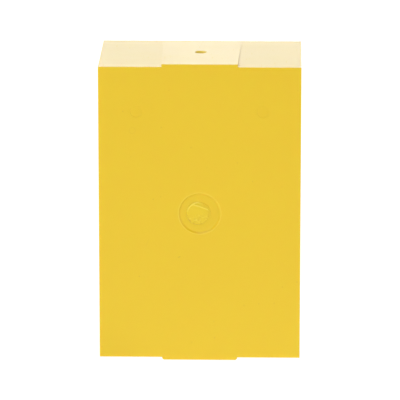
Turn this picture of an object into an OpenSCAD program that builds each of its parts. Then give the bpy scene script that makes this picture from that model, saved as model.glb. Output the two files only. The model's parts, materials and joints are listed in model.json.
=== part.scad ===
// Small yellow plastic mailbox: a one-piece shell with its closed face at the back, and a screwed-in
// front with a letter flap, a collection door and a quarter-turn latch.
// Millimetres, +Z up. The origin is on the ground under the middle of the box. The closed face looks
// along -Y, and the door and flap look along +Y.

/* [Shell] */
// width of the closed face
box_w = 80; // [60:1:120]
// height of the closed face, without the strips
face_h = 118.4; // [90:0.1:180]
// depth from the closed face to the rim of the mouth
box_d = 48; // [36:1:80]
// thickness of the side, top and bottom walls
wall = 2; // [1.4:0.1:3]
// thickness of the closed face
face_t = 2; // [1.4:0.1:3]
// rise of the top wall, and fall of the bottom wall, from the closed face to the rim
draft = 1.1; // [0.4:0.1:3]
// lean of each side wall from the closed face to the rim
side_draft = 0.1; // [0:0.05:1]

/* [Strips] */
// width of the top and bottom strips at the closed face
strip_w = 30; // [16:1:50]
// how much wider the strips are at the rim
strip_flare = 1.9; // [0:0.1:4]
// chamfer along the lower corners of the bottom strip
strip_chamfer = 0.6; // [0.1:0.1:1]
// diameter of the hanging hole in the top strip
hang_d = 3.8; // [2:0.1:8]
// widening of the hanging hole by its countersink
hang_sink_w = 1.1; // [0.4:0.1:3]
// depth of the countersink
hang_sink_h = 0.7; // [0.3:0.1:1.4]
// distance of the hanging hole from the closed face
hang_back = 24.8; // [12:0.1:40]

/* [Moulding marks] */
// diameter of the gate well at its floor
well_d = 15.4; // [10:0.1:24]
// diameter of the gate well at the face
well_mouth_d = 16.6; // [10:0.1:26]
// depth of the gate well
well_depth = 0.5; // [0.2:0.05:1]
// diameter of the stub that the gate left
stub_d = 8.8; // [4:0.1:14]
// height of the stub over the floor of the well
stub_h = 0.25; // [0.1:0.05:0.8]
// diameter of the two round marks
mark_d = 4.9; // [3:0.1:8]
// depth of the two round marks
mark_depth = 0.2; // [0.1:0.05:0.6]
// distance between the two round marks
mark_pitch = 50; // [30:0.5:70]
// distance of the round marks below the face's top edge
mark_drop = 17.8; // [10:0.1:30]

/* [Screw posts] */
// distance of each post from the side edge of the face
post_side = 9; // [7:0.1:16]
// distance of each post from the top or bottom edge of the face
post_end = 7.2; // [6:0.1:14]
// diameter of a post
post_d = 7; // [5:0.1:9]
// diameter of the shank of a cover screw
screw_d = 2.2; // [1.6:0.1:3]
// diameter of the head of a cover screw
screw_head_d = 4.6; // [3.4:0.1:6]
// height of the head of a cover screw
screw_head_h = 1.5; // [1:0.1:3]
// length of a cover screw under its head
screw_len = 10; // [6:0.5:16]

/* [Front cover] */
// distance of the cover's outer side from the rim of the mouth
recess = 6; // [5:0.1:12]
// thickness of the cover
cover_t = 2.4; // [1.6:0.1:4]
// gap between the cover and the shell's walls
cover_gap = 0.15; // [0.05:0.05:0.6]

/* [Letter slot and flap] */
// height of the letter slot
slot_h = 9; // [6:0.1:14]
// distance of the slot's top edge below the top of the box
slot_drop = 19.6; // [14:0.1:30]
// distance of each end of the slot from the side of the box
slot_margin = 13; // [8:0.1:24]
// width of the raised rim around the slot
slot_rim_w = 1.5; // [0.8:0.1:2]
// thickness of the flap
flap_t = 1.6; // [1:0.1:3]
// overlap of the flap past the slot's lower edge and ends
flap_overlap = 2; // [1:0.1:3]
// outer diameter of the flap's hinge barrel
flap_barrel_d = 3.4; // [2.8:0.1:5]
// diameter of the flap's pin
flap_pin_d = 1.5; // [1:0.1:2.4]
// width of a flap lug
flap_lug_w = 2.6; // [1.6:0.1:5]
// width of the finger ledge
ledge_w = 24; // [10:1:40]
// projection of the finger ledge
ledge_out = 2; // [1:0.1:3.5]

/* [Chute] */
// width of the chute
chute_w = 50; // [24:1:60]
// thickness of the chute
chute_t = 1.2; // [0.8:0.1:2]
// length of the chute's sloping part, front to back
chute_run = 17.6; // [8:0.1:24]
// fall of the chute's sloping part
chute_fall = 15.5; // [8:0.1:24]
// height of the chute's upright flange
chute_flange_h = 6.4; // [5:0.1:12]
// distance between the chute screws
chute_pitch = 40; // [14:1:50]
// diameter of a chute screw's shank
chute_screw_d = 1.8; // [1.2:0.1:2.4]
// projection of the bosses that the chute is screwed to
chute_boss_h = 2; // [1.4:0.1:4]

/* [Collection door] */
// distance of the door's edges from the sides of the box
door_margin = 9; // [7:0.1:16]
// height of the door's lower edge above the ground
door_bottom = 12; // [11:0.5:30]
// distance of the door's upper edge below the top of the box
door_drop = 36.6; // [34:0.1:60]
// thickness of the door
door_t = 2.2; // [1.4:0.1:4]
// overlap of the door past its opening
door_overlap = 3; // [1.5:0.1:5]
// outer diameter of the door's hinge barrel
door_barrel_d = 3.8; // [3:0.1:6]
// diameter of the door's pin
door_pin_d = 1.6; // [1:0.1:2.6]
// height of a door lug
door_lug_h = 3.6; // [2:0.1:8]
// depth of the rim on the back of the door
door_lip = 1.9; // [0.8:0.1:2.2]

/* [Latch] */
// distance of the knob from the door's free edge
knob_inset = 8; // [7:0.1:14]
// distance of the knob's axis below the card holder
knob_drop = 8; // [7:0.1:20]
// diameter of the knob
knob_d = 10; // [7:0.1:14]
// height of the knob's disc
knob_h = 1.2; // [0.8:0.1:2]
// height of the grip on the knob
grip_h = 1.5; // [1:0.1:3]
// diameter of the knob's shaft
shaft_d = 3; // [2.4:0.1:4]
// thickness of the washer under the knob
washer_t = 0.4; // [0.2:0.05:0.8]
// thickness of the cam
cam_t = 1.5; // [1:0.1:2.4]
// reach of the cam from the shaft's axis
cam_reach = 8.5; // [7:0.1:12]
// width of the cam
cam_w = 3.6; // [3.2:0.1:5]

/* [Card holder] */
// width of the card holder
holder_w = 42; // [24:1:50]
// height of the card holder
holder_h = 26; // [16:1:34]
// border of the holder around the pocket
holder_rim = 3; // [2.4:0.1:5]
// thickness of the holder
holder_t = 1.6; // [1.2:0.1:3]
// distance of the holder's top below the door's top
holder_drop = 5; // [3:0.1:12]
// thickness of the clear window
window_t = 0.5; // [0.3:0.05:0.8]
// thickness of the card
card_t = 0.3; // [0.2:0.05:0.5]
// diameter of the holder's snap pegs
peg_d = 1.6; // [1:0.1:2.2]

/* [Hidden] */
$fn = 64;
// radial clearance between a pin or shaft and its hole
pin_gap = 0.05;
// clearance between faces of pieces that move past each other
slide_gap = 0.3;
// reach of a cut past the surface that it opens
cut = 1;
// depth to which a shank or pin runs into its own head
root = 0.1;
// height of the head on a hinge pin
pin_head_h = 0.6;
// room past the end of a cover screw in its post
post_room = 1;
// diameter of the bosses that the chute is screwed to
chute_boss_d = 2.6 * chute_screw_d;
// clearance between the rim on the back of the door and the opening, and the thickness of that rim
lip_gap = 0.5;
lip_wall = 1.4;
// lap of the holder's front over the edges of the window
window_lap = 1.5;
// gap around the window, and gap around the card
window_gap = 0.1;
card_gap = 0.2;
// gap behind the card, and all the play between the card, the window and the holder
card_back_gap = 0.05;
pocket_play = 0.15;
total_h = face_h + 2 * draft;
back_y = -box_d / 2;
mouth_y = box_d / 2;
cover_front = mouth_y - recess;
cover_back = cover_front - cover_t;
post_x = box_w / 2 - post_side;
post_z = [draft + post_end, total_h - draft - post_end];
slot_w = box_w - 2 * slot_margin;
slot_top = total_h - slot_drop;
slot_bottom = slot_top - slot_h;
flap_w = slot_w + 2 * flap_overlap;
flap_axis_y = cover_front + slide_gap + flap_barrel_d / 2;
flap_front = flap_axis_y + flap_barrel_d / 2;
flap_back = flap_front - flap_t;
slot_rim_front = flap_back - slide_gap;
flap_axis_z = slot_top + slot_rim_w + slide_gap + flap_barrel_d / 2;
flap_bottom = slot_bottom - flap_overlap;
flap_pin_half = flap_w / 2 + slide_gap + flap_lug_w;
chute_y = cover_back - chute_boss_h;
chute_screw_z = slot_top + 5.4;
chute_low = chute_screw_z - chute_flange_h / 2;
door_x = box_w / 2 - door_margin;
door_top = total_h - door_drop;
door_back = cover_front + slide_gap;
door_front = door_back + door_t;
door_axis_x = door_x + door_barrel_d / 2 + 0.1;
door_axis_y = door_back + door_barrel_d / 2;
knob_x = -door_x + knob_inset;
cam_front = cover_back - slide_gap;
cam_back = cam_front - cam_t;
knob_base = door_front + washer_t;
holder_top = door_top - holder_drop;
holder_mid_z = holder_top - holder_h / 2;
knob_z = holder_top - holder_h - knob_drop;
pocket_w = holder_w - 2 * holder_rim;
pocket_h = holder_h - 2 * holder_rim;
pocket_depth = card_t + window_t + pocket_play;
square_w = 0.66 * shaft_d;
yellow = [0.93, 0.78, 0.24];

// lowest point of the drafted bottom wall at depth y
function low_z(y) = draft * (mouth_y - y) / box_d;
// half of the drafted width at depth y
function half_w(y) = box_w / 2 + side_draft * (y - back_y) / box_d;
// diameter of the head on a hinge pin
function pin_head_d(d) = 1.7 * d;

// a cylinder along Y that starts at y0 and ends at y1
module rod_y(d, y0, y1) {
  translate([0, y0, 0]) rotate([-90, 0, 0]) cylinder(d = d, h = y1 - y0);
}

// a cylinder along X that is centred on the origin
module rod_x(d, len) {
  rotate([0, 90, 0]) cylinder(d = d, h = len, center = true);
}

// a box given by its lowest and highest corners
module block(low, high) {
  translate(low) cube(high - low);
}

// the drafted form of the box between two depths, taken in by inset on the four sides
module drafted_block(inset, y0, y1) {
  intersection() {
    rotate([90, 0, 90]) linear_extrude(height = 2 * box_w, center = true) polygon([
      [y0, low_z(y0) + inset],
      [y1, low_z(y1) + inset],
      [y1, total_h - low_z(y1) - inset],
      [y0, total_h - low_z(y0) - inset]
    ]);
    translate([0, 0, -cut]) linear_extrude(height = total_h + 2 * cut) polygon([
      [-half_w(y0) + inset, y0],
      [half_w(y0) - inset, y0],
      [half_w(y1) - inset, y1],
      [-half_w(y1) + inset, y1]
    ]);
  }
}

// the two strips as one slab, which the shell's hollow then parts
module strip_slab() {
  lean = atan(strip_flare / 2 / box_d);
  side = sqrt(2) * strip_chamfer;
  difference() {
    linear_extrude(height = total_h) polygon([
      [-strip_w / 2, back_y],
      [strip_w / 2, back_y],
      [strip_w / 2 + strip_flare / 2, mouth_y],
      [-strip_w / 2 - strip_flare / 2, mouth_y]
    ]);
    for (end = [-1, 1]) translate([end * strip_w / 2, back_y, 0]) rotate([0, 0, -end * lean]) {
      rotate([0, 45, 0]) cube([side, 3 * box_d, side], center = true);
    }
  }
}

module at_posts() {
  for (x = [-post_x, post_x], z = post_z) translate([x, 0, z]) children();
}

// a pan head with a cross recess, whose flat underside is at y = 0 and whose top is at y = h
module cross_head(d, h) {
  difference() {
    rod_y(d, 0, h);
    block([-0.35 * d, h - 0.4 * h, -0.09 * d], [0.35 * d, h + cut, 0.09 * d]);
    block([-0.09 * d, h - 0.4 * h, -0.35 * d], [0.09 * d, h + cut, 0.35 * d]);
  }
}

// one-piece moulded tray with four posts, a gate well and two round marks
module shell() {
  color(yellow) difference() {
    union() {
      difference() {
        union() {
          drafted_block(0, back_y, mouth_y);
          strip_slab();
        }
        drafted_block(wall, back_y + face_t, mouth_y + cut);
      }
      at_posts() rod_y(post_d, back_y + face_t / 2, cover_back);
    }
    at_posts() rod_y(screw_d + 2 * pin_gap, cover_front - screw_len - post_room, cover_back + cut);
    hanging_hole();
    gate_recess();
    for (x = [-mark_pitch / 2, mark_pitch / 2]) {
      translate([x, 0, total_h - draft - mark_drop]) rod_y(mark_d, back_y - cut, back_y + mark_depth);
    }
  }
}

// the countersunk hole through the top strip
module hanging_hole() {
  translate([0, back_y + hang_back, total_h / 2]) cylinder(d = hang_d, h = total_h);
  translate([0, back_y + hang_back, total_h - hang_sink_h]) {
    cylinder(d1 = hang_d, d2 = hang_d + hang_sink_w, h = hang_sink_h);
  }
}

// the tapered well in the face, less the stub that stands in it
module gate_recess() {
  translate([0, back_y, total_h / 2]) difference() {
    rotate([-90, 0, 0]) cylinder(d1 = well_mouth_d, d2 = well_d, h = well_depth);
    rod_y(stub_d, well_depth - stub_h, well_depth + cut);
  }
}

// plate with the rimmed slot, the door opening, the hinge lugs and the chute bosses
module front_cover() {
  color(yellow) difference() {
    union() {
      drafted_block(wall + cover_gap, cover_back, cover_front);
      block(
        [-slot_w / 2 - slot_rim_w, cover_back, slot_bottom - slot_rim_w],
        [slot_w / 2 + slot_rim_w, slot_rim_front, slot_top + slot_rim_w]
      );
      flap_lugs();
      door_lugs();
      for (x = [-chute_pitch / 2, chute_pitch / 2]) {
        translate([x, 0, chute_screw_z]) rod_y(chute_boss_d, chute_y, cover_back + cover_t / 2);
      }
    }
    block([-slot_w / 2, cover_back - cut, slot_bottom], [slot_w / 2, slot_rim_front + cut, slot_top]);
    block(
      [-door_x + door_overlap, cover_back - cut, door_bottom + door_overlap],
      [door_x - door_overlap, cover_front + cut, door_top - door_overlap]
    );
    at_posts() rod_y(screw_d + 2 * pin_gap, cover_back - cut, cover_front + cut);
    translate([0, flap_axis_y, flap_axis_z]) rod_x(flap_pin_d + 2 * pin_gap, box_w);
    translate([door_axis_x, door_axis_y, door_bottom - cut]) {
      cylinder(d = door_pin_d + 2 * pin_gap, h = door_top - door_bottom + 2 * cut);
    }
    for (x = [-chute_pitch / 2, chute_pitch / 2]) {
      translate([x, 0, chute_screw_z]) {
        rod_y(chute_screw_d + 2 * pin_gap, chute_y - cut, cover_front - cover_t / 4);
      }
    }
  }
}

// a lug at each end of the flap
module flap_lugs() {
  for (side = [-1, 1]) {
    translate([side * (flap_w / 2 + slide_gap + flap_lug_w / 2), 0, flap_axis_z]) {
      translate([0, flap_axis_y, 0]) rod_x(flap_barrel_d, flap_lug_w);
      block(
        [-flap_lug_w / 2, cover_front - cover_t / 2, -flap_barrel_d / 2],
        [flap_lug_w / 2, flap_axis_y, flap_barrel_d / 2]
      );
    }
  }
}

// a lug above and a lug below the door's barrel
module door_lugs() {
  for (z = [door_bottom, door_top - door_lug_h]) {
    translate([door_axis_x, 0, z]) {
      translate([0, door_axis_y, 0]) cylinder(d = door_barrel_d, h = door_lug_h);
      block(
        [-door_barrel_d / 2, cover_front - cover_t / 2, 0],
        [door_barrel_d / 2, door_axis_y, door_lug_h]
      );
    }
  }
}

// four screws that hold the cover on the posts
module cover_screws() {
  color("silver") at_posts() translate([0, cover_front, 0]) {
    cross_head(screw_head_d, screw_head_h);
    rod_y(screw_d, -screw_len, root);
  }
}

// flap panel with its barrel, a finger ledge and a raised envelope outline
module letter_flap() {
  outline_rise = 1;
  color(yellow) difference() {
    union() {
      block([-flap_w / 2, flap_back, flap_bottom], [flap_w / 2, flap_front, flap_axis_z]);
      translate([0, flap_axis_y, flap_axis_z]) rod_x(flap_barrel_d, flap_w);
      block(
        [-ledge_w / 2, flap_back, flap_bottom],
        [ledge_w / 2, flap_front + ledge_out, flap_bottom + flap_t]
      );
      translate([0, flap_front, slot_bottom + slot_h / 2 + outline_rise]) envelope_outline();
    }
    translate([0, flap_axis_y, flap_axis_z]) rod_x(flap_pin_d + 2 * pin_gap, flap_w + 2 * cut);
  }
}

// an envelope drawn with raised lines
module envelope_outline() {
  env_w = 11;
  env_h = 6.4;
  line = 0.7;
  rise = 0.35;
  tip_z = -0.6;
  translate([0, rise, 0]) rotate([90, 0, 0]) linear_extrude(height = 2 * rise) {
    difference() {
      square([env_w, env_h], center = true);
      square([env_w - 2 * line, env_h - 2 * line], center = true);
    }
    for (side = [-1, 1]) polygon([
      [side * env_w / 2, env_h / 2],
      [side * env_w / 2, env_h / 2 - line],
      [0, tip_z - line],
      [0, tip_z]
    ]);
  }
}

// steel pin with a small head, pushed through the lugs and the flap's barrel
module flap_pin() {
  color("silver") translate([0, flap_axis_y, flap_axis_z]) {
    rod_x(flap_pin_d, 2 * flap_pin_half);
    translate([flap_pin_half + pin_head_h / 2, 0, 0]) rod_x(pin_head_d(flap_pin_d), pin_head_h);
  }
}

// bent sheet: an upright flange on the cover's bosses and a slope that falls to the back
module letter_chute() {
  color([0.2, 0.2, 0.21]) difference() {
    rotate([90, 0, 90]) linear_extrude(height = chute_w, center = true) polygon([
      [chute_y, chute_low + chute_flange_h],
      [chute_y - chute_t, chute_low + chute_flange_h],
      [chute_y - chute_t, chute_low],
      [chute_y - chute_t - chute_run, chute_low - chute_fall],
      [chute_y - chute_run, chute_low - chute_fall],
      [chute_y, chute_low - chute_t / 2]
    ]);
    for (x = [-chute_pitch / 2, chute_pitch / 2]) {
      translate([x, 0, chute_screw_z]) {
        rod_y(chute_screw_d + 2 * pin_gap, chute_y - chute_t - cut, chute_y + cut);
      }
    }
  }
}

// two small screws that hold the chute
module chute_screws() {
  head_h = 1.1;
  bite = 0.8;
  color("silver") for (x = [-chute_pitch / 2, chute_pitch / 2]) {
    translate([x, chute_y - chute_t, chute_screw_z]) mirror([0, 1, 0]) {
      cross_head(2 * chute_screw_d, head_h);
      rod_y(chute_screw_d, -(chute_t + chute_boss_h + bite), root);
    }
  }
}

// door panel with its barrel, a rim that fits the opening, and the holes for latch and pegs
module collection_door() {
  lip_x = door_x - door_overlap - lip_gap;
  lip_bottom = door_bottom + door_overlap + lip_gap;
  lip_top = door_top - door_overlap - lip_gap;
  color(yellow) difference() {
    union() {
      block([-door_x, door_back, door_bottom], [door_x - slide_gap, door_front, door_top]);
      block(
        [door_x - 2 * slide_gap, door_back, door_bottom + door_lug_h + slide_gap],
        [door_axis_x, door_front, door_top - door_lug_h - slide_gap]
      );
      translate([door_axis_x, door_axis_y, door_bottom + door_lug_h + slide_gap]) {
        cylinder(d = door_barrel_d, h = door_top - door_bottom - 2 * (door_lug_h + slide_gap));
      }
      difference() {
        block([-lip_x, door_back - door_lip, lip_bottom], [lip_x, door_back + door_t / 4, lip_top]);
        block(
          [-lip_x + lip_wall, door_back - door_lip - cut, lip_bottom + lip_wall],
          [lip_x - lip_wall, door_back, lip_top - lip_wall]
        );
      }
    }
    translate([door_axis_x, door_axis_y, door_bottom]) {
      cylinder(d = door_pin_d + 2 * pin_gap, h = door_top - door_bottom);
    }
    translate([knob_x, 0, knob_z]) rod_y(shaft_d + 2 * pin_gap, door_back - cut, door_front + cut);
    at_pegs() rod_y(peg_d + 2 * pin_gap, door_back - cut, door_front + cut);
  }
}

module at_pegs() {
  peg_x = (holder_w - holder_rim) / 2;
  peg_rise = (holder_h - holder_rim) / 2;
  for (x = [-peg_x, peg_x], z = [-peg_rise, peg_rise]) {
    translate([x, 0, holder_mid_z + z]) children();
  }
}

// steel pin with a small head on top of the upper lug
module door_pin() {
  color("silver") translate([door_axis_x, door_axis_y, door_bottom]) {
    cylinder(d = door_pin_d, h = door_top - door_bottom + root);
    translate([0, 0, door_top - door_bottom]) cylinder(d = pin_head_d(door_pin_d), h = pin_head_h);
  }
}

// knob with a straight grip, a round shaft and a square end for the cam
module latch_knob() {
  grip_w = 0.24 * knob_d;
  grip_len = 0.92 * knob_d;
  pilot_d = 1;
  pilot_len = 2.4;
  color([0.13, 0.13, 0.14]) translate([knob_x, 0, knob_z]) difference() {
    union() {
      rod_y(knob_d, knob_base, knob_base + knob_h);
      block(
        [-grip_w / 2, knob_base + knob_h / 2, -grip_len / 2],
        [grip_w / 2, knob_base + knob_h + grip_h, grip_len / 2]
      );
      rod_y(shaft_d, cam_front, knob_base + knob_h / 2);
      block([-square_w / 2, cam_back, -square_w / 2], [square_w / 2, cam_front + cam_t / 3, square_w / 2]);
    }
    rod_y(pilot_d, cam_back - cut, cam_front + pilot_len);
  }
}

// nylon washer that the knob turns on
module knob_washer() {
  color("white") translate([knob_x, 0, knob_z]) difference() {
    rod_y(0.8 * knob_d, door_front, knob_base);
    rod_y(shaft_d + 2 * pin_gap, door_front - cut, knob_base + cut);
  }
}

// steel cam that hangs down when the door is free and points sideways when it is held
module latch_cam() {
  hole_w = square_w + 2 * pin_gap;
  color("silver") translate([knob_x, 0, knob_z]) difference() {
    union() {
      rod_y(cam_w, cam_back, cam_front);
      block([-cam_w / 2, cam_back, -cam_reach], [cam_w / 2, cam_front, 0]);
    }
    block([-hole_w / 2, cam_back - cut, -hole_w / 2], [hole_w / 2, cam_front + cut, hole_w / 2]);
  }
}

// small screw that holds the cam on the shaft
module cam_screw() {
  head_d = 3;
  head_h = 0.8;
  shank_d = 0.9;
  shank_len = 3;
  color("silver") translate([knob_x, cam_back, knob_z]) mirror([0, 1, 0]) {
    cross_head(head_d, head_h);
    rod_y(shank_d, -shank_len, root);
  }
}

// frame with a pocket behind it and four snap pegs
module card_holder() {
  sight_w = pocket_w - 2 * window_lap;
  sight_h = pocket_h - 2 * window_lap;
  peg_short = 0.2;
  color([0.13, 0.13, 0.14]) {
    translate([0, door_front, holder_mid_z]) difference() {
      block([-holder_w / 2, 0, -holder_h / 2], [holder_w / 2, holder_t, holder_h / 2]);
      block([-pocket_w / 2, -cut, -pocket_h / 2], [pocket_w / 2, pocket_depth, pocket_h / 2]);
      block([-sight_w / 2, -cut, -sight_h / 2], [sight_w / 2, holder_t + cut, sight_h / 2]);
    }
    at_pegs() rod_y(peg_d, door_back + peg_short, door_front + holder_t / 2);
  }
}

// clear window in the holder's pocket
module card_window() {
  half_x = pocket_w / 2 - window_gap;
  half_z = pocket_h / 2 - window_gap;
  color([0.85, 0.9, 0.92, 0.4]) translate([0, door_front + card_t + 2 * card_back_gap, holder_mid_z]) {
    block([-half_x, 0, -half_z], [half_x, window_t, half_z]);
  }
}

// blank paper card behind the window
module info_card() {
  half_x = pocket_w / 2 - card_gap;
  half_z = pocket_h / 2 - card_gap;
  color([0.96, 0.95, 0.9]) translate([0, door_front + card_back_gap, holder_mid_z]) {
    block([-half_x, 0, -half_z], [half_x, card_t, half_z]);
  }
}

shell();
front_cover();
cover_screws();
letter_flap();
flap_pin();
letter_chute();
chute_screws();
collection_door();
door_pin();
latch_knob();
knob_washer();
latch_cam();
cam_screw();
card_holder();
card_window();
info_card();
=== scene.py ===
import json
import math

import bmesh
import bpy
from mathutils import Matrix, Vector, noise


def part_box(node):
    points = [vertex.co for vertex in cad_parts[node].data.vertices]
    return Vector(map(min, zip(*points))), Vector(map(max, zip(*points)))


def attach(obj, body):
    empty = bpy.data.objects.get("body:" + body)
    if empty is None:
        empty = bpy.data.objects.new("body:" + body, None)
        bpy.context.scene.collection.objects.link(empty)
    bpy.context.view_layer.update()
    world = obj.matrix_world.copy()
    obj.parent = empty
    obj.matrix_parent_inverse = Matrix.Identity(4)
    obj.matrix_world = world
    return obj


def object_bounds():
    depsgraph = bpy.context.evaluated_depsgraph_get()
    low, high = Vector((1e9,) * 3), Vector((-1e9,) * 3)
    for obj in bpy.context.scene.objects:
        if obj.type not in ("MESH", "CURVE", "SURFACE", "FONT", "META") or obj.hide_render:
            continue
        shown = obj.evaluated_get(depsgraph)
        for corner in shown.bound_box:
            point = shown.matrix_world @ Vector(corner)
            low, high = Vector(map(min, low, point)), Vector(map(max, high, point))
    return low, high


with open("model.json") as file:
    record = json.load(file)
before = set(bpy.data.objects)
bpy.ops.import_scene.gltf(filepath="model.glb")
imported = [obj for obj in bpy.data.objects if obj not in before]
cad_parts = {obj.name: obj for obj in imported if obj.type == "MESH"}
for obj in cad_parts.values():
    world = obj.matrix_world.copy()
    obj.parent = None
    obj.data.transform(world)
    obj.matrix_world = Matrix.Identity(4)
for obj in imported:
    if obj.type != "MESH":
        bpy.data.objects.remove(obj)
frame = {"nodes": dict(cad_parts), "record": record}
nodes = frame["nodes"]
cad_low, cad_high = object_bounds()


# Camera. A long lens looks a little down on the closed face from just right of its middle, so the top
# shows as a thin band and both sides stay hidden.
azimuth = math.radians(1.343)
elevation = math.radians(13.73)
distance = 1.4105
aim = Vector((-0.0004, 0.0, 0.06))
away = Vector((
    math.sin(azimuth) * math.cos(elevation),
    -math.cos(azimuth) * math.cos(elevation),
    math.sin(elevation),
))
camera_data = bpy.data.cameras.new("camera")
camera_data.lens = 315
camera_data.sensor_width = 36
camera_data.clip_start = 0.05
camera_data.clip_end = 100
camera = bpy.data.objects.new("camera", camera_data)
camera.location = aim + away * distance
camera.rotation_euler = (-away).to_track_quat("-Z", "Y").to_euler()
bpy.context.scene.collection.objects.link(camera)
bpy.context.scene.camera = camera
bpy.context.scene.view_settings.view_transform = "Standard"


def linear(code):
    """Turns an sRGB hex colour such as "EEC842" into linear red, green, blue and an alpha of 1."""
    parts = [int(code[i:i + 2], 16) / 255 for i in (0, 2, 4)]
    return tuple(c / 12.92 if c <= 0.04045 else ((c + 0.055) / 1.055) ** 2.4 for c in parts) + (1.0,)


def add(tree, kind, inputs=None, **settings):
    """Adds one shader node. Settings are its own properties, inputs are socket values or links."""
    made = tree.nodes.new(kind)
    for key, value in settings.items():
        setattr(made, key, value)
    for key, value in (inputs or {}).items():
        if isinstance(value, bpy.types.NodeSocket):
            tree.links.new(value, made.inputs[key])
        else:
            made.inputs[key].default_value = value
    return made


def fresh_material(name):
    """An empty material, and the tree that its nodes go in."""
    made = bpy.data.materials.new(name)
    made.use_nodes = True
    made.node_tree.nodes.clear()
    return made, made.node_tree


# Floor. A sheet of opal acrylic lit from below, as for catalogue pictures, so it stays white behind the box
# and takes almost no shadow. It is dimmer in front of the closed face. It isn't part of the mailbox.
half = 40.0
floor_z = -0.0001
corners = [(-half, -half, floor_z), (half, -half, floor_z), (half, half, floor_z), (-half, half, floor_z)]
floor_mesh = bpy.data.meshes.new("light_table")
floor_mesh.from_pydata(corners, [], [(0, 1, 2, 3)])
floor = bpy.data.objects.new("light_table", floor_mesh)
bpy.context.scene.collection.objects.link(floor)
opal_acrylic_backlit, tree = fresh_material("opal_acrylic_backlit")
across = add(tree, "ShaderNodeSeparateXYZ", {"Vector": add(tree, "ShaderNodeTexCoord").outputs["Object"]})
lamps = add(tree, "ShaderNodeMapRange", {
    "Value": across.outputs["Y"],
    "From Min": -0.7,
    "From Max": -0.085,
    "To Min": 0.62,
    "To Max": 0.98,
}, interpolation_type="SMOOTHSTEP")
acrylic = add(tree, "ShaderNodeBsdfPrincipled", {
    "Base Color": linear("505050"),
    "Roughness": 0.7,
    "Emission Color": linear("FFFFFF"),
    "Emission Strength": lamps.outputs["Result"],
})
add(tree, "ShaderNodeOutputMaterial", {"Surface": acrylic.outputs["BSDF"]})
floor_mesh.materials.append(opal_acrylic_backlit)


# Studio light. White walls under a dim ceiling, a strong softbox high on the left for the closed face, a
# weaker one above, a reflector on the right, and a white sweep low behind the box, which turns the glossy
# top pale where it is seen at a low angle.
white_room = bpy.data.worlds.new("white_room")
white_room.use_nodes = True
tree = white_room.node_tree
tree.nodes.clear()
toward = add(tree, "ShaderNodeTexCoord").outputs["Generated"]
rise = add(tree, "ShaderNodeSeparateXYZ", {"Vector": toward})
wall_light = add(tree, "ShaderNodeMapRange", {
    "Value": rise.outputs["Z"],
    "From Min": 0.08,
    "From Max": 0.38,
    "To Min": 0.95,
    "To Max": 0.08,
}, interpolation_type="SMOOTHSTEP")
walls = add(tree, "ShaderNodeBackground", {"Strength": wall_light.outputs["Result"]})
add(tree, "ShaderNodeOutputWorld", {"Surface": walls.outputs["Background"]})
bpy.context.scene.world = white_room


middle = Vector((0, 0, 0.06))


def softbox(name, place, width, height, radiance):
    """A rectangular diffuser that faces the box. Radiance is its brightness, where 1 shows as white."""
    data = bpy.data.lights.new(name, "AREA")
    data.shape = "RECTANGLE"
    data.size = width
    data.size_y = height
    data.energy = radiance * math.pi * width * height
    lamp = bpy.data.objects.new(name, data)
    lamp.location = place
    lamp.rotation_euler = (middle - Vector(place)).to_track_quat("-Z", "Y").to_euler()
    bpy.context.scene.collection.objects.link(lamp)


softbox("front_softbox", (-1.3, -2.8, 1.5), 2.2, 1.7, 3.8)
softbox("ceiling_softbox", (-0.4, -0.8, 2.0), 1.3, 1.0, 2.8)
softbox("side_reflector", (2.2, -0.5, 0.7), 1.4, 1.2, 1.3)
softbox("white_sweep", (0, 2.2, 0.75), 1.7, 1.5, 3.0)


# Shell. One injection-moulded tray of yellow ABS, which carries the closed face, the four walls, the two
# strips and the screw posts. It was gated in the middle of the face, and its edges are slightly rounded.
mid_z = (cad_low.z + cad_high.z) / 2
face_y = cad_low.y
hang_hole = next(mount for mount in frame["record"]["mounts"] if mount["name"] == "hang_hole")

# distance of the screw posts from the middle of the face, across and up
post_x, post_rise = 0.031, 0.052

# the gate well, and the depth to which a mark on the face reaches
well_mouth_mm, well_floor_mm, well_depth_mm = 16.6, 15.4, 0.5
mark_reach_mm = 1.6

# reach of the hanging hole's countersink, in radii of the hole
countersink_share = 1.25


def soften(name, width):
    """Rounds a CAD node's sharp edges as its mould does. Width is the radius in metres."""
    piece = nodes[name]
    piece.modifiers.new("join_faces", "WELD").merge_threshold = 2e-6
    flat = piece.modifiers.new("flat_faces", "DECIMATE")
    flat.decimate_type = "DISSOLVE"
    flat.angle_limit = math.radians(0.5)
    edge = piece.modifiers.new("mould_radius", "BEVEL")
    edge.width = width
    edge.segments = 3
    edge.limit_method = "ANGLE"
    edge.angle_limit = math.radians(30)
    piece.modifiers.new("even_shading", "WEIGHTED_NORMAL")
    return piece


def oval(tree, place, x, z, width_mm, height_mm, turn=0.0):
    """Distance from the middle of an oval on the closed face, as a share of the distance to its edge. It
    grows with depth too, so that no mark shows on the inside of the wall."""
    local = add(tree, "ShaderNodeMapping", {
        "Vector": place,
        "Location": (x, face_y, z),
        "Rotation": (0.0, turn, 0.0),
        "Scale": (width_mm / 2000, mark_reach_mm / 1000, height_mm / 2000),
    }, vector_type="TEXTURE")
    length = add(tree, "ShaderNodeVectorMath", {0: local.outputs["Vector"]}, operation="LENGTH")
    return length.outputs["Value"]


def close_to(tree, value, middle, reach):
    """1 where the value is at the middle, falling to 0 at the reach on either side."""
    apart = add(tree, "ShaderNodeMath", {0: value, 1: middle}, operation="SUBTRACT")
    size = add(tree, "ShaderNodeMath", {0: apart.outputs[0]}, operation="ABSOLUTE")
    return add(tree, "ShaderNodeMapRange", {
        "Value": size.outputs[0],
        "From Min": 0.0,
        "From Max": reach,
        "To Min": 1.0,
        "To Max": 0.0,
    }, interpolation_type="SMOOTHSTEP").outputs["Result"]


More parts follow.
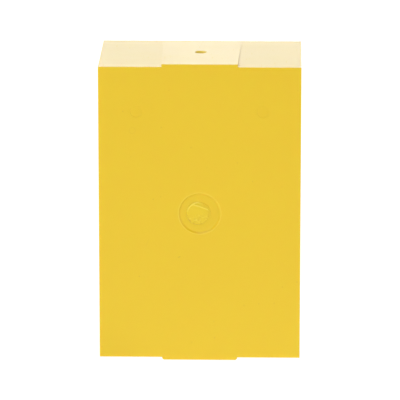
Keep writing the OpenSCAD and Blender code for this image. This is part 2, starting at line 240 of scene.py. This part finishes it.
def tinted(tree, colour, code, cover, strength):
    """The colour with some of another laid over it where cover is 1."""
    amount = add(tree, "ShaderNodeMath", {0: cover, 1: strength}, operation="MULTIPLY")
    mixed = add(tree, "ShaderNodeMix", {
        0: amount.outputs[0],
        6: colour,
        7: linear(code),
    }, data_type="RGBA")
    return mixed.outputs[2]


def abs_yellow_moulded(name, face_marks=False, torn=False, texture_mm=0.35):
    """Yellow ABS straight from a polished mould: an even, slightly milky yellow with a soft gloss, fine
    orange peel, hairline handling scratches and a few specks of dirt in the resin."""
    made, tree = fresh_material(name)
    place = add(tree, "ShaderNodeTexCoord").outputs["Object"]
    per_mm = 1000.0
    cloud_mm, smear_mm, speck_mm = 30, 9, 3
    peel_height_mm = 0.0016
    cloud = add(tree, "ShaderNodeTexNoise", {"Vector": place, "Scale": per_mm / cloud_mm, "Detail": 3.0})
    peel = add(tree, "ShaderNodeTexNoise", {"Vector": place, "Scale": per_mm / texture_mm, "Detail": 2.0})
    smear = add(tree, "ShaderNodeTexNoise", {"Vector": place, "Scale": per_mm / smear_mm, "Detail": 4.0})

    # hairline scratches are stretched noise, cut off so that only its crests are left; real ones are
    # under 0.1 mm wide, and they are drawn wider so that they show
    scratch_mm, scratch_length_mm, scratch_depth_mm = 0.35, 7, 0.004
    turned = add(tree, "ShaderNodeMapping", {
        "Vector": place,
        "Rotation": (0.5, 0.7, 0.4),
        "Scale": (per_mm / scratch_mm, per_mm / scratch_length_mm, per_mm / scratch_mm),
    })
    lines = add(tree, "ShaderNodeTexNoise", {
        "Vector": turned.outputs["Vector"],
        "Scale": 1.0,
        "Detail": 0.0,
    })
    scratch = add(tree, "ShaderNodeMapRange", {
        "Value": lines.outputs["Fac"],
        "From Min": 0.78,
        "From Max": 0.84,
    })

    # specks lie in the few cells of a random lattice whose number is high
    speck_share = 0.14
    cells = add(tree, "ShaderNodeTexVoronoi", {"Vector": place, "Scale": per_mm / speck_mm})
    number = add(tree, "ShaderNodeSeparateColor", {"Color": cells.outputs["Color"]})
    chosen = add(tree, "ShaderNodeMath", {
        0: number.outputs["Red"],
        1: 1 - speck_share,
    }, operation="GREATER_THAN")
    near = add(tree, "ShaderNodeMapRange", {
        "Value": cells.outputs["Distance"],
        "From Min": 0.03,
        "From Max": 0.07,
        "To Min": 1.0,
        "To Max": 0.0,
    })
    speck = add(tree, "ShaderNodeMath", {
        0: chosen.outputs[0],
        1: near.outputs["Result"],
    }, operation="MULTIPLY")

    height = add(tree, "ShaderNodeMath", {
        0: peel.outputs["Fac"],
        1: peel_height_mm / per_mm,
    }, operation="MULTIPLY").outputs[0]
    height = add(tree, "ShaderNodeMath", {
        0: scratch.outputs["Result"],
        1: -scratch_depth_mm / per_mm,
        2: height,
    }, operation="MULTIPLY_ADD").outputs[0]
    tone = add(tree, "ShaderNodeMix", {
        0: cloud.outputs["Fac"],
        6: linear("E9C60E"),
        7: linear("EBC912"),
    }, data_type="RGBA").outputs[2]

    milkiness = 0.15 if torn else 0.6
    if torn:
        # the stub is painted paler on its crests, partly as stress whitening and partly as painted
        # highlight, and darker in its grooves as painted shade
        paleness = add(tree, "ShaderNodeAttribute", attribute_name="pale_and_painted_light").outputs["Fac"]
        pale = add(tree, "ShaderNodeMapRange", {"Value": paleness, "From Min": 0.5, "From Max": 1.0})
        painted_shade = add(tree, "ShaderNodeMapRange", {"Value": paleness, "From Min": 0.4, "From Max": 0.0})
        tone = tinted(tree, tone, "FFE658", pale.outputs["Result"], 0.6)
        tone = tinted(tree, tone, "D2A020", painted_shade.outputs["Result"], 0.6)

    if face_marks:
        # the lip of the gate well is painted pale as a painted highlight, and its inner corner a little
        # dark as painted shade
        from_well = oval(tree, place, 0, mid_z, well_mouth_mm, well_mouth_mm)
        tone = tinted(tree, tone, "FFE66A", close_to(tree, from_well, 1.02, 0.04), 0.25)
        corner = math.hypot(well_floor_mm / well_mouth_mm, well_depth_mm / mark_reach_mm)
        tone = tinted(tree, tone, "C4962A", close_to(tree, from_well, corner, 0.03), 0.03)

        # marks on the face: a short dark scuff, a dot of dirt, a thin dull nick, the ring of an ejector pin
        scuff = close_to(tree, oval(tree, place, -0.0081, 0.0425, 1.8, 0.45, -0.35), 0.0, 1.0)
        tone = tinted(tree, tone, "A8802A", scuff, 0.5)
        dot = close_to(tree, oval(tree, place, -0.0184, 0.0661, 0.5, 0.5), 0.0, 1.0)
        tone = tinted(tree, tone, "8A6420", dot, 0.55)
        nick = close_to(tree, oval(tree, place, -0.0209, 0.048, 0.35, 6.8, 0.4), 0.0, 1.0)
        tone = tinted(tree, tone, "D9AE2A", nick, 0.3)
        pin_ring = close_to(tree, oval(tree, place, -0.0266, 0.0939, 2.4, 2.4), 1.0, 0.16)
        tone = tinted(tree, tone, "D2A82C", pin_ring, 0.2)

        # the wall of the hanging hole and its countersink are painted pale, as painted light standing in
        # for the light that reaches into the hole, and they scatter only at their surface
        hole_r = hang_hole["dims"]["r_mm"] / per_mm
        hole_space = add(tree, "ShaderNodeMapping", {
            "Vector": place,
            "Location": tuple(hang_hole["pos_m"]),
            "Scale": (hole_r, hole_r, hole_r),
        }, vector_type="TEXTURE")
        near_hole = add(tree, "ShaderNodeVectorMath", {
            0: hole_space.outputs["Vector"],
            1: (1, 1, 0),
        }, operation="MULTIPLY")
        from_hole = add(tree, "ShaderNodeVectorMath", {0: near_hole.outputs[0]}, operation="LENGTH")
        bore_wall = add(tree, "ShaderNodeMath", {
            0: from_hole.outputs["Value"],
            1: countersink_share,
        }, operation="LESS_THAN")
        tone = tinted(tree, tone, "FFDF50", bore_wall.outputs[0], 1.0)
        milkiness = add(tree, "ShaderNodeMath", {
            0: bore_wall.outputs[0],
            1: -1.0,
            2: milkiness,
        }, operation="MULTIPLY_ADD", use_clamp=True).outputs[0]

        # height of the four sink marks over the posts and of the rings that the melt left round the gate
        sink_radius_mm, sink_depth_mm = 5.5, 0.035
        ring_mm, ring_wander_mm, wander_mm = 2.6, 6.0, 22
        ring_start_mm, ring_end_mm = 9, 45
        ring_height_mm, ring_last_height_mm = 0.0016, 0.0003
        centred = add(tree, "ShaderNodeVectorMath", {0: place, 1: (0, 0, mid_z)}, operation="SUBTRACT")
        folded = add(tree, "ShaderNodeVectorMath", {0: centred.outputs[0]}, operation="ABSOLUTE")
        shifted = add(tree, "ShaderNodeVectorMath", {
            0: folded.outputs[0],
            1: (post_x, 0, post_rise),
        }, operation="SUBTRACT")
        on_face = add(tree, "ShaderNodeVectorMath", {
            0: shifted.outputs[0],
            1: (1, 0, 1),
        }, operation="MULTIPLY")
        from_post = add(tree, "ShaderNodeVectorMath", {0: on_face.outputs[0]}, operation="LENGTH")
        sink = add(tree, "ShaderNodeMapRange", {
            "Value": from_post.outputs["Value"],
            "From Min": 0.0,
            "From Max": sink_radius_mm / per_mm,
            "To Min": -sink_depth_mm / per_mm,
            "To Max": 0.0,
        }, interpolation_type="SMOOTHERSTEP")
        wander = add(tree, "ShaderNodeTexNoise", {
            "Vector": place,
            "Scale": per_mm / wander_mm,
            "Detail": 2.0,
        })
        face_plane = add(tree, "ShaderNodeVectorMath", {
            0: centred.outputs[0],
            1: (1, 0, 1),
        }, operation="MULTIPLY")
        from_gate = add(tree, "ShaderNodeVectorMath", {0: face_plane.outputs[0]}, operation="LENGTH")
        warped = add(tree, "ShaderNodeMath", {
            0: wander.outputs["Fac"],
            1: ring_wander_mm / per_mm,
            2: from_gate.outputs["Value"],
        }, operation="MULTIPLY_ADD")
        phase = add(tree, "ShaderNodeMath", {
            0: warped.outputs[0],
            1: 2 * math.pi * per_mm / ring_mm,
        }, operation="MULTIPLY")
        ripple = add(tree, "ShaderNodeMath", {0: phase.outputs[0]}, operation="SINE")
        fade = add(tree, "ShaderNodeMapRange", {
            "Value": from_gate.outputs["Value"],
            "From Min": ring_start_mm / per_mm,
            "From Max": ring_end_mm / per_mm,
            "To Min": ring_height_mm / per_mm,
            "To Max": ring_last_height_mm / per_mm,
        })
        rings = add(tree, "ShaderNodeMath", {
            0: ripple.outputs[0],
            1: fade.outputs["Result"],
            2: sink.outputs["Result"],
        }, operation="MULTIPLY_ADD")
        height = add(tree, "ShaderNodeMath", {0: height, 1: rings.outputs[0]}, operation="ADD").outputs[0]

    relief = add(tree, "ShaderNodeBump", {"Height": height, "Distance": 1.0, "Strength": 1.0})
    dirt = add(tree, "ShaderNodeMix", {
        0: speck.outputs[0],
        6: tone,
        7: linear("C79E22"),
    }, data_type="RGBA")
    gloss = add(tree, "ShaderNodeMapRange", {
        "Value": smear.outputs["Fac"],
        "To Min": 0.36,
        "To Max": 0.41,
    })
    dull = add(tree, "ShaderNodeMath", {
        0: scratch.outputs["Result"],
        1: 0.18,
        2: gloss.outputs["Result"],
    }, operation="MULTIPLY_ADD")
    plastic = add(tree, "ShaderNodeBsdfPrincipled", {
        "Base Color": dirt.outputs[2],
        "Roughness": dull.outputs[0],
        "IOR": 1.53,
        "Subsurface Weight": milkiness,
        "Subsurface Radius": (1.0, 0.75, 0.25),
        "Subsurface Scale": 0.0015,
        "Normal": relief.outputs["Normal"],
    })
    add(tree, "ShaderNodeOutputMaterial", {"Surface": plastic.outputs["BSDF"]})
    return made


shell = soften("shell", 0.00024)
shell.data.materials[0] = abs_yellow_moulded("abs_yellow_moulded", face_marks=True)


# Gate stub. What is left in the well where the runner was snapped off: a rough torn disc of the same
# plastic, with a step across its upper right. Its crests and upper left rim are painted pale, partly as
# stress whitening and partly as painted highlight, and its grooves and lower right rim are painted dark as
# painted shade.
stub_x, stub_z = -0.0006, mid_z

# radius of the stub, and distance from its middle at which its right side is cut flat
stub_r_mm, flat_side_mm = 4.65, 4.25
well_floor = face_y + well_depth_mm / 1000


def past_step(x, z):
    """Distance above the slanting, slightly bent step across the stub, in millimetres."""
    start_x, start_z, lean, bend, slant = -1.4, 3.8, 0.31, 0.02, 1.05
    return (z - start_z + lean * (x - start_x) + bend * x * x) / slant


def bell(value, middle, reach):
    """1 at the middle, falling off smoothly over the reach."""
    return math.exp(-((value - middle) / reach) ** 2)


def stub_height(x, z):
    """Height of the torn surface over the floor of the well, in millimetres, at x, z millimetres."""
    step = past_step(x, z)
    tall = 0.32 + 0.02 * z / 4.6

    # it drops past the step, and the plastic curled up along the step and along the upper left rim
    tall -= 0.10 + 0.10 * math.tanh(step / 0.12)
    tall += 0.13 * bell(step, -0.25, 0.25)
    rim = math.hypot(x, z) / stub_r_mm
    tall += 0.12 * bell(rim, 0.92, 0.06) * (0.5 + 0.5 * math.tanh(z - 0.4 * x - 0.3))

    # the lower part tore last and is the roughest
    rough = 0.2 + 0.8 / (1 + math.exp(3.0 * (z + 0.6)))
    tall += 0.15 * rough * noise.noise(Vector((x / 0.95, z / 0.6, 3.1)))
    tall += 0.07 * rough * noise.noise(Vector((x / 0.4, z / 0.3, 7.7)))
    return tall


def stub_pale_and_painted_light(x, z):
    """How pale the stub is painted, from 0 to 1: stress whitening on the torn crests together with painted
    highlights and painted shade.
    """
    step = past_step(x, z)
    rim = math.hypot(x, z) / stub_r_mm

    # palest on the crest of the step, as stress whitening and painted highlight, and darkest in the groove
    # above it, as painted shade
    white = 0.45 + 0.75 * bell(step, -0.22, 0.3) * (0.5 + 0.5 * math.tanh(x + 1.6))
    white -= 0.5 * bell(step, 0.4, 0.22) * bell(x, 0.6, 1.6)

    # a painted highlight on the upper left rim, and painted shade in the corner under the lower right one
    white += 0.6 * bell(rim, 0.93, 0.08) * (0.5 + 0.5 * math.tanh(2 * (z - 0.4 * x - 2.5)))
    white -= 0.5 * bell(rim, 1.0, 0.07) * (0.5 - 0.5 * math.tanh(2 * (z - 0.4 * x - 0.5)))

    # painted a little paler past the step, to lift the shade on its slope there, and mottled where the tear
    # is rough
    white += 0.4 * (0.5 + 0.5 * math.tanh((step - 0.95) / 0.2))
    lower = 1 / (1 + math.exp(2.5 * (z + 0.6)))
    white += (0.12 + 0.45 * lower) * noise.noise(Vector((x / 0.95, z / 0.6, 3.1)))
    return min(1.0, max(0.0, white))


highest_mm = well_depth_mm - 0.01
stub_mesh = bmesh.new()
# each point keeps how pale it is painted: stress whitening together with painted highlight and painted
# shade
pale_and_painted_light = stub_mesh.verts.layers.float.new("pale_and_painted_light")
rings, spokes = 44, 144
edge_share = 0.93
previous = None
for ring in range(rings + 1):
    share = ring / rings
    row = []
    for spoke in range(spokes if ring else 1):
        turn = 2 * math.pi * spoke / spokes
        ragged = 1 + 0.022 * noise.noise(Vector((1.7 * math.cos(turn), 1.7 * math.sin(turn), 0.4)))
        reach = stub_r_mm * share * ragged
        x, z = reach * math.cos(turn), reach * math.sin(turn)
        x = min(x, flat_side_mm + 0.08 * noise.noise(Vector((z, 2.2, 0.0))))
        drop = max(0.0, (share - edge_share) / (1 - edge_share))
        tall = min(stub_height(x, z), highest_mm) * (1 - drop ** 2.5) - 0.02 * drop
        point = stub_mesh.verts.new((stub_x + x / 1000, well_floor - tall / 1000, stub_z + z / 1000))
        point[pale_and_painted_light] = stub_pale_and_painted_light(x, z)
        row.append(point)
    if previous:
        for spoke in range(spokes):
            after = (spoke + 1) % spokes
            if len(previous) == 1:
                stub_mesh.faces.new((previous[0], row[spoke], row[after]))
            else:
                stub_mesh.faces.new((previous[spoke], row[spoke], row[after], previous[after]))
    previous = row
buried = well_floor + 0.0002
bottom = [stub_mesh.verts.new((point.co.x, buried, point.co.z)) for point in previous]
for spoke in range(spokes):
    after = (spoke + 1) % spokes
    stub_mesh.faces.new((previous[spoke], bottom[spoke], bottom[after], previous[after]))
stub_mesh.faces.new(list(reversed(bottom)))
bmesh.ops.recalc_face_normals(stub_mesh, faces=stub_mesh.faces)
for face in stub_mesh.faces:
    face.smooth = True
stub_data = bpy.data.meshes.new("gate_stub")
stub_mesh.to_mesh(stub_data)
stub_mesh.free()
gate_stub = bpy.data.objects.new("gate_stub", stub_data)
bpy.context.scene.collection.objects.link(gate_stub)
stub_data.materials.append(abs_yellow_moulded("abs_yellow_torn", torn=True, texture_mm=0.2))
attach(gate_stub, "cabinet")


# Front cover, letter flap and collection door. Three more mouldings of the same ABS: the cover is screwed
# into the mouth of the shell, and the flap and the door hang on it by steel pins.
cover_abs = abs_yellow_moulded("abs_yellow_cover", texture_mm=0.3)
for name, radius in (("front_cover", 0.0003), ("letter_flap", 0.0003), ("collection_door", 0.0004)):
    soften(name, radius)
    nodes[name].data.materials[0] = cover_abs


# Screws. Small pan-head screws of zinc-plated steel, with a cross recess. The plating is a cool grey with
# a faint straw tint, and the heads are a little scuffed by the driver.
def zinc_plated_steel(name, tint_a, tint_b, scale_mm):
    """Bright zinc plating over pressed steel: cloudy tint, soft glint and short driver scuffs. Real scuffs
    are finer than 0.25 mm, and are drawn that coarse so that they show."""
    made, tree = fresh_material(name)
    place = add(tree, "ShaderNodeTexCoord").outputs["Object"]
    cloud = add(tree, "ShaderNodeTexNoise", {"Vector": place, "Scale": 1000 / scale_mm, "Detail": 4.0})
    scuff_mm = 0.25
    scuff = add(tree, "ShaderNodeTexNoise", {"Vector": place, "Scale": 1000 / scuff_mm, "Detail": 3.0})
    tint = add(tree, "ShaderNodeMix", {
        0: cloud.outputs["Fac"],
        6: linear(tint_a),
        7: linear(tint_b),
    }, data_type="RGBA")
    gloss = add(tree, "ShaderNodeMapRange", {
        "Value": scuff.outputs["Fac"],
        "To Min": 0.28,
        "To Max": 0.55,
    })
    relief = add(tree, "ShaderNodeBump", {
        "Height": scuff.outputs["Fac"],
        "Distance": 0.00002,
        "Strength": 0.5,
    })
    steel = add(tree, "ShaderNodeBsdfPrincipled", {
        "Base Color": tint.outputs[2],
        "Metallic": 1.0,
        "Roughness": gloss.outputs["Result"],
        "Normal": relief.outputs["Normal"],
    })
    add(tree, "ShaderNodeOutputMaterial", {"Surface": steel.outputs["BSDF"]})
    return made


screw_steel = zinc_plated_steel("steel_zinc_plated", "A3A6AC", "B5B1A2", 2.5)
for name in ("cover_screws", "chute_screws", "cam_screw"):
    soften(name, 0.00015)
    nodes[name].data.materials[0] = screw_steel


# Hinge pins. Straight lengths of ground steel wire with an upset head, pushed through the lugs. Grinding
# leaves fine rings round them.
def ground_steel_wire(name, along):
    """Ground steel: a clean grey glint broken by fine rings across the pin's length. The wheel's marks are
    about 0.02 mm wide, and are drawn 0.12 mm wide so that they show."""
    made, tree = fresh_material(name)
    place = add(tree, "ShaderNodeTexCoord").outputs["Object"]
    ring_mm, length_mm = 0.12, 3.0
    fine, coarse = 1000 / ring_mm, 1000 / length_mm
    scale = tuple(fine if axis == along else coarse for axis in "XYZ")
    paleness = add(tree, "ShaderNodeMapping", {"Vector": place, "Scale": scale})
    rings_made = add(tree, "ShaderNodeTexNoise", {
        "Vector": paleness.outputs["Vector"],
        "Scale": 1.0,
        "Detail": 2.0,
    })
    gloss = add(tree, "ShaderNodeMapRange", {
        "Value": rings_made.outputs["Fac"],
        "To Min": 0.18,
        "To Max": 0.4,
    })
    relief = add(tree, "ShaderNodeBump", {
        "Height": rings_made.outputs["Fac"],
        "Distance": 0.00001,
        "Strength": 0.6,
    })
    steel = add(tree, "ShaderNodeBsdfPrincipled", {
        "Base Color": linear("C4C5C8"),
        "Metallic": 1.0,
        "Roughness": gloss.outputs["Result"],
        "Normal": relief.outputs["Normal"],
    })
    add(tree, "ShaderNodeOutputMaterial", {"Surface": steel.outputs["BSDF"]})
    return made


for name, along in (("flap_pin", "X"), ("door_pin", "Z")):
    soften(name, 0.00015)
    nodes[name].data.materials[0] = ground_steel_wire("steel_ground_" + name, along)


# Letter chute. A bent plate of black polypropylene behind the slot, screwed to the back of the cover. Its
# mould was spark-eroded, which leaves an even matt grain.
def textured_black(name, shade_a, shade_b, grain_mm, rough_low, rough_high):
    """Black plastic from a spark-eroded mould: matt, finely pebbled and slightly uneven in tone. The grain
    of such a mould is about 0.05 mm, and it is drawn coarser so that it shows."""
    made, tree = fresh_material(name)
    place = add(tree, "ShaderNodeTexCoord").outputs["Object"]
    cloud_mm = 12
    cloud = add(tree, "ShaderNodeTexNoise", {"Vector": place, "Scale": 1000 / cloud_mm, "Detail": 3.0})
    grain = add(tree, "ShaderNodeTexNoise", {"Vector": place, "Scale": 1000 / grain_mm, "Detail": 3.0})
    tone = add(tree, "ShaderNodeMix", {
        0: cloud.outputs["Fac"],
        6: linear(shade_a),
        7: linear(shade_b),
    }, data_type="RGBA")
    gloss = add(tree, "ShaderNodeMapRange", {
        "Value": grain.outputs["Fac"],
        "To Min": rough_low,
        "To Max": rough_high,
    })
    relief = add(tree, "ShaderNodeBump", {
        "Height": grain.outputs["Fac"],
        "Distance": 0.00004,
        "Strength": 0.6,
    })
    plastic = add(tree, "ShaderNodeBsdfPrincipled", {
        "Base Color": tone.outputs[2],
        "Roughness": gloss.outputs["Result"],
        "IOR": 1.5,
        "Normal": relief.outputs["Normal"],
    })
    add(tree, "ShaderNodeOutputMaterial", {"Surface": plastic.outputs["BSDF"]})
    return made


soften("letter_chute", 0.0003)
nodes["letter_chute"].data.materials[0] = textured_black(
    "polypropylene_black_eroded", "1E1E20", "29292B", 0.3, 0.55, 0.75
)


# Latch knob and card holder. Black ABS with a finer grain and more gloss than the chute. The knob turns on
# its washer, and the holder snaps into the door by four pegs.
black_abs = textured_black("abs_black_eroded", "131315", "1C1C1E", 0.22, 0.32, 0.5)
for name in ("latch_knob", "card_holder"):
    soften(name, 0.0004)
    nodes[name].data.materials[0] = black_abs


# Washer. Turned from natural nylon, which is a warm, slightly waxy white.
nylon_natural_turned, tree = fresh_material("nylon_natural_turned")
place = add(tree, "ShaderNodeTexCoord").outputs["Object"]
wax_mm = 1.5
wax = add(tree, "ShaderNodeTexNoise", {"Vector": place, "Scale": 1000 / wax_mm, "Detail": 3.0})
wax_tone = add(tree, "ShaderNodeMix", {
    0: wax.outputs["Fac"],
    6: linear("E4E0D2"),
    7: linear("EFECE2"),
}, data_type="RGBA")
nylon = add(tree, "ShaderNodeBsdfPrincipled", {
    "Base Color": wax_tone.outputs[2],
    "Roughness": 0.45,
    "IOR": 1.53,
    "Subsurface Weight": 0.2,
    "Subsurface Scale": 0.0008,
})
add(tree, "ShaderNodeOutputMaterial", {"Surface": nylon.outputs["BSDF"]})
soften("knob_washer", 0.0001)
nodes["knob_washer"].data.materials[0] = nylon_natural_turned


# Latch cam. Stamped from steel strip and zinc plated, so it is yellower and cloudier than the screws.
soften("latch_cam", 0.00025)
strip_steel = zinc_plated_steel("steel_strip_zinc_plated", "A8A9A9", "BFB48E", 4.0)
nodes["latch_cam"].data.materials[0] = strip_steel


# Card window. A clear polystyrene sheet in front of the card, with the faint haze and fine wipe marks that
# soft plastic gets.
polystyrene_clear_sheet, tree = fresh_material("polystyrene_clear_sheet")
place = add(tree, "ShaderNodeTexCoord").outputs["Object"]
wipe_length_mm, wipe_mm = 9, 0.3
wiped = add(tree, "ShaderNodeMapping", {
    "Vector": place,
    "Rotation": (0.0, 0.35, 0.0),
    "Scale": (1000 / wipe_length_mm, 1000 / wipe_length_mm, 1000 / wipe_mm),
})
wipe = add(tree, "ShaderNodeTexNoise", {"Vector": wiped.outputs["Vector"], "Scale": 1.0, "Detail": 3.0})
haze = add(tree, "ShaderNodeMapRange", {"Value": wipe.outputs["Fac"], "To Min": 0.02, "To Max": 0.12})
clear = add(tree, "ShaderNodeBsdfPrincipled", {
    "Base Color": linear("F6FAFA"),
    "Roughness": haze.outputs["Result"],
    "IOR": 1.59,
    "Transmission Weight": 1.0,
})
add(tree, "ShaderNodeOutputMaterial", {"Surface": clear.outputs["BSDF"]})
nodes["card_window"].data.materials[0] = polystyrene_clear_sheet


# Card. Cream board with a ruled table and no words, for the collection times. It is slightly mottled and
# shows its fibres, which are drawn coarser than real ones so that they show.
board_cream_printed, tree = fresh_material("board_cream_printed")
place = add(tree, "ShaderNodeTexCoord").outputs["Object"]
card_low, card_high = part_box("info_card")
fibre_mm = 0.4
column, row_height, rule_width, heading_height = 0.0085, 0.0031, 0.00022, 0.0036
fibre = add(tree, "ShaderNodeTexNoise", {"Vector": place, "Scale": 1000 / fibre_mm, "Detail": 5.0})
board = add(tree, "ShaderNodeMix", {
    0: fibre.outputs["Fac"],
    6: linear("E9E4D0"),
    7: linear("F6F2E4"),
}, data_type="RGBA")
from_corner = add(tree, "ShaderNodeVectorMath", {0: place, 1: card_low}, operation="SUBTRACT")
axes = add(tree, "ShaderNodeSeparateXYZ", {"Vector": from_corner.outputs[0]})
ruled = None
for axis, step in (("X", column), ("Z", row_height)):
    wrapped = add(tree, "ShaderNodeMath", {0: axes.outputs[axis], 1: step}, operation="MODULO")
    line = add(tree, "ShaderNodeMath", {0: wrapped.outputs[0], 1: rule_width}, operation="LESS_THAN")
    if ruled is None:
        ruled = line.outputs[0]
    else:
        ruled = add(tree, "ShaderNodeMath", {0: ruled, 1: line.outputs[0]}, operation="MAXIMUM").outputs[0]
heading = add(tree, "ShaderNodeMath", {
    0: axes.outputs["Z"],
    1: card_high.z - card_low.z - heading_height,
}, operation="GREATER_THAN")
printed = add(tree, "ShaderNodeMix", {0: ruled, 6: board.outputs[2], 7: linear("6A6A66")}, data_type="RGBA")
headed = add(tree, "ShaderNodeMix", {
    0: heading.outputs[0],
    6: printed.outputs[2],
    7: linear("3A3B3D"),
}, data_type="RGBA")
relief = add(tree, "ShaderNodeBump", {
    "Height": fibre.outputs["Fac"],
    "Distance": 0.00002,
    "Strength": 0.5,
})
board_shader = add(tree, "ShaderNodeBsdfPrincipled", {
    "Base Color": headed.outputs[2],
    "Roughness": 0.85,
    "Normal": relief.outputs["Normal"],
})
add(tree, "ShaderNodeOutputMaterial", {"Surface": board_shader.outputs["BSDF"]})
nodes["info_card"].data.materials[0] = board_cream_printed
